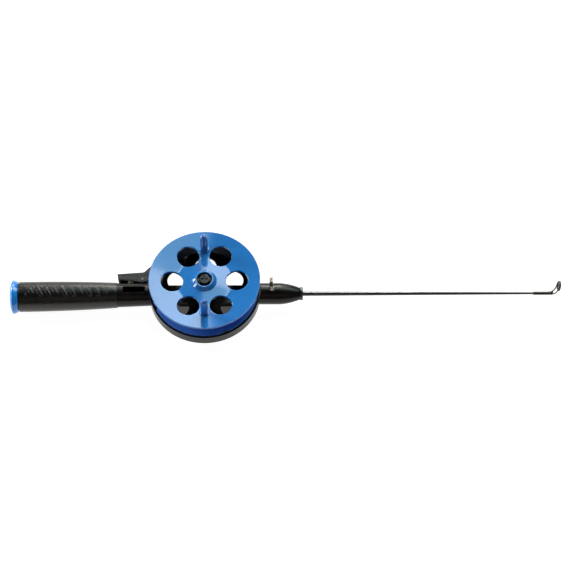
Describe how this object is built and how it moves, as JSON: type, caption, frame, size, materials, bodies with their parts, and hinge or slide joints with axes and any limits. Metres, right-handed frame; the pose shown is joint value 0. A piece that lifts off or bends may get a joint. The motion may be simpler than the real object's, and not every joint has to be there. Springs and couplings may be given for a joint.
{
  "type": "ice fishing rod",
  "caption": "Short ice fishing rod with an open side reel, finger knobs, a thumb lever spool lock and a ring guide at the tip.",
  "frame": {"origin": "centre of the flat pad on the back of the frame, on the spool's axis", "axes": "+X along the rod to its tip, +Z along the spool's axis to its face, +Y to the thumb lever's side"},
  "size_m": [0.4464, 0.0931, 0.0549],
  "materials": {
    "black_nylon": "satin moulded black nylon",
    "grip_rubber": "fine leathery grain, matte",
    "blue_cap_plastic": "glossy blue",
    "black_gloss_plastic": "polished black",
    "blank_graphite": "clear coated black",
    "gunmetal": "dark plated",
    "guide_ceramic": "polished dark ceramic",
    "eye_wire": "drawn stainless wire",
    "spool_blue": "high gloss blue",
    "acetal": "natural acetal",
    "bright_steel": "ground steel",
    "brass": "turned brass",
    "black_steel": "black oxide steel",
    "knob_blue": "high gloss blue",
    "lever_nylon": "fine spark-eroded grain",
    "spring_steel": "plated spring wire"
  },
  "bodies": {
    "frame": {"frame_body": "black_nylon", "grip_sleeve": "grip_rubber", "butt_cap": "blue_cap_plastic", "nose_collar": "black_gloss_plastic", "rod_blank": "blank_graphite", "tip_guide_tube": "gunmetal", "tip_guide_solder": "gunmetal", "tip_guide_legs": "gunmetal", "tip_guide_ring": "gunmetal", "tip_guide_insert": "guide_ceramic", "nose_guide_eye": "eye_wire", "spindle_sleeve": "bright_steel", "thrust_washer": "acetal", "threaded_insert": "brass", "screw_washer": "black_steel", "spool_screw": "black_steel", "lever_pin": "bright_steel", "lever_spring": "spring_steel"},
    "spool": {"spool": "spool_blue", "spool_bush": "acetal", "knob_upper_pin": "bright_steel", "knob_lower_pin": "bright_steel", "knob_collars": "spool_blue"},
    "knob_upper": {"knob_upper": "knob_blue"},
    "knob_lower": {"knob_lower": "knob_blue"},
    "lever": {"thumb_lever": "lever_nylon"}
  },
  "joints": [
    {"name": "spool_spin", "type": "hinge", "parent": "frame", "child": "spool", "pos_m": [0, 0, 0.0238], "axis": [0, 0, 1], "continuous": true},
    {"name": "knob_upper_spin", "type": "hinge", "parent": "spool", "child": "knob_upper", "pos_m": [-0.00052, 0.0298, 0.04], "axis": [0, 0, 1], "continuous": true},
    {"name": "knob_lower_spin", "type": "hinge", "parent": "spool", "child": "knob_lower", "pos_m": [0.00052, -0.0298, 0.04], "axis": [0, 0, 1], "continuous": true},
    {"name": "lever_pivot", "type": "hinge", "parent": "frame", "child": "lever", "pos_m": [-0.051, 0.01103, 0.0095], "axis": [0, 0, 1], "range_deg": [-2.5, 5], "stiffness_Nm_per_rad": 0.5, "deforming": ["lever_spring"]}
  ]
}
